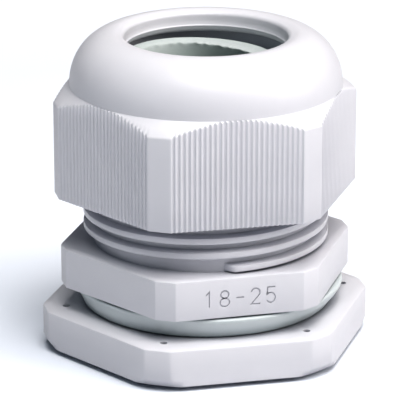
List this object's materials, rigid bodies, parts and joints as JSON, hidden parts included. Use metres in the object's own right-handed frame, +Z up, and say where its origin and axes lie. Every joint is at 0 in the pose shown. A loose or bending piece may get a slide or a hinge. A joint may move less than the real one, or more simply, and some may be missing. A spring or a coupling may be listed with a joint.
{
  "type": "cable gland",
  "caption": "Loosely assembled plastic cable gland with a ribbed dome nut, clamping claw, rubber seal, hexagon body with two threads, flat gasket and locknut.",
  "frame": {"origin": "on the gland's axis, in the plane of the entry thread's end, which it stands on", "axes": "+Z up along the cable, from the entry thread to the mouth of the dome nut; -Y towards the front"},
  "size_m": [0.0656, 0.065, 0.0638],
  "materials": {
    "nylon": "satin, light grey",
    "gasket_rubber": "soft, off-white",
    "seal_rubber": "soft, off-white"
  },
  "bodies": {
    "gland_body": {"gland_body": "nylon"},
    "insert": {"claw_collar": "nylon", "sealing_insert": "seal_rubber"},
    "dome_nut": {"dome_nut": "nylon"},
    "gasket": {"gasket": "gasket_rubber"},
    "locknut": {"locknut": "nylon"},
    "lamella_01": {"lamella_01": "nylon"},
    "lamella_02": {"lamella_02": "nylon"},
    "lamella_03": {"lamella_03": "nylon"},
    "lamella_04": {"lamella_04": "nylon"},
    "lamella_05": {"lamella_05": "nylon"},
    "lamella_06": {"lamella_06": "nylon"},
    "lamella_07": {"lamella_07": "nylon"},
    "lamella_08": {"lamella_08": "nylon"},
    "lamella_09": {"lamella_09": "nylon"},
    "lamella_10": {"lamella_10": "nylon"},
    "lamella_11": {"lamella_11": "nylon"},
    "lamella_12": {"lamella_12": "nylon"}
  },
  "joints": [
    {"name": "claw_slide", "type": "slide", "parent": "gland_body", "child": "insert", "axis": [0, 0, 1], "range_m": [-0.00601, 0.01051]},
    {"name": "nut_turn", "type": "hinge", "parent": "insert", "child": "dome_nut", "pos_m": [0, 0, 0.0404], "axis": [0, 0, 1], "range_deg": [-720, 1260]},
    {"name": "gasket_slide", "type": "slide", "parent": "gland_body", "child": "gasket", "axis": [0, 0, 1], "range_m": [-0.00954, 0.00021]},
    {"name": "locknut_turn", "type": "hinge", "parent": "gasket", "child": "locknut", "pos_m": [0, 0, 0.0048], "axis": [0, 0, 1], "range_deg": [-2160, 45]},
    {"name": "bend_01", "type": "hinge", "parent": "insert", "child": "lamella_01", "pos_m": [0.0189, 0, 0.0504], "axis": [0, 1, 0], "range_deg": [-5.35, 3.1]},
    {"name": "bend_02", "type": "hinge", "parent": "insert", "child": "lamella_02", "pos_m": [0.01637, 0.00945, 0.0504], "axis": [-0.5, 0.866, 0], "range_deg": [-5.35, 3.1]},
    {"name": "bend_03", "type": "hinge", "parent": "insert", "child": "lamella_03", "pos_m": [0.00945, 0.01637, 0.0504], "axis": [-0.866, 0.5, 0], "range_deg": [-5.35, 3.1]},
    {"name": "bend_04", "type": "hinge", "parent": "insert", "child": "lamella_04", "pos_m": [0, 0.0189, 0.0504], "axis": [-1, 0, 0], "range_deg": [-5.35, 3.1]},
    {"name": "bend_05", "type": "hinge", "parent": "insert", "child": "lamella_05", "pos_m": [-0.00945, 0.01637, 0.0504], "axis": [-0.866, -0.5, 0], "range_deg": [-5.35, 3.1]},
    {"name": "bend_06", "type": "hinge", "parent": "insert", "child": "lamella_06", "pos_m": [-0.01637, 0.00945, 0.0504], "axis": [-0.5, -0.866, 0], "range_deg": [-5.35, 3.1]},
    {"name": "bend_07", "type": "hinge", "parent": "insert", "child": "lamella_07", "pos_m": [-0.0189, 0, 0.0504], "axis": [0, -1, 0], "range_deg": [-5.35, 3.1]},
    {"name": "bend_08", "type": "hinge", "parent": "insert", "child": "lamella_08", "pos_m": [-0.01637, -0.00945, 0.0504], "axis": [0.5, -0.866, 0], "range_deg": [-5.35, 3.1]},
    {"name": "bend_09", "type": "hinge", "parent": "insert", "child": "lamella_09", "pos_m": [-0.00945, -0.01637, 0.0504], "axis": [0.866, -0.5, 0], "range_deg": [-5.35, 3.1]},
    {"name": "bend_10", "type": "hinge", "parent": "insert", "child": "lamella_10", "pos_m": [0, -0.0189, 0.0504], "axis": [1, 0, 0], "range_deg": [-5.35, 3.1]},
    {"name": "bend_11", "type": "hinge", "parent": "insert", "child": "lamella_11", "pos_m": [0.00945, -0.01637, 0.0504], "axis": [0.866, 0.5, 0], "range_deg": [-5.35, 3.1]},
    {"name": "bend_12", "type": "hinge", "parent": "insert", "child": "lamella_12", "pos_m": [0.01637, -0.00945, 0.0504], "axis": [0.5, 0.866, 0], "range_deg": [-5.35, 3.1]}
  ],
  "couplings": [
    {"joint": "claw_slide", "follows": "nut_turn", "m_per_rad": 0.00047746},
    {"joint": "gasket_slide", "follows": "locknut_turn", "m_per_rad": 0.00025266},
    {"joint": "bend_01", "follows": "nut_turn", "ratio": -0.0042064},
    {"joint": "bend_02", "follows": "nut_turn", "ratio": -0.0042064},
    {"joint": "bend_03", "follows": "nut_turn", "ratio": -0.0042064},
    {"joint": "bend_04", "follows": "nut_turn", "ratio": -0.0042064},
    {"joint": "bend_05", "follows": "nut_turn", "ratio": -0.0042064},
    {"joint": "bend_06", "follows": "nut_turn", "ratio": -0.0042064},
    {"joint": "bend_07", "follows": "nut_turn", "ratio": -0.0042064},
    {"joint": "bend_08", "follows": "nut_turn", "ratio": -0.0042064},
    {"joint": "bend_09", "follows": "nut_turn", "ratio": -0.0042064},
    {"joint": "bend_10", "follows": "nut_turn", "ratio": -0.0042064},
    {"joint": "bend_11", "follows": "nut_turn", "ratio": -0.0042064},
    {"joint": "bend_12", "follows": "nut_turn", "ratio": -0.0042064}
  ]
}
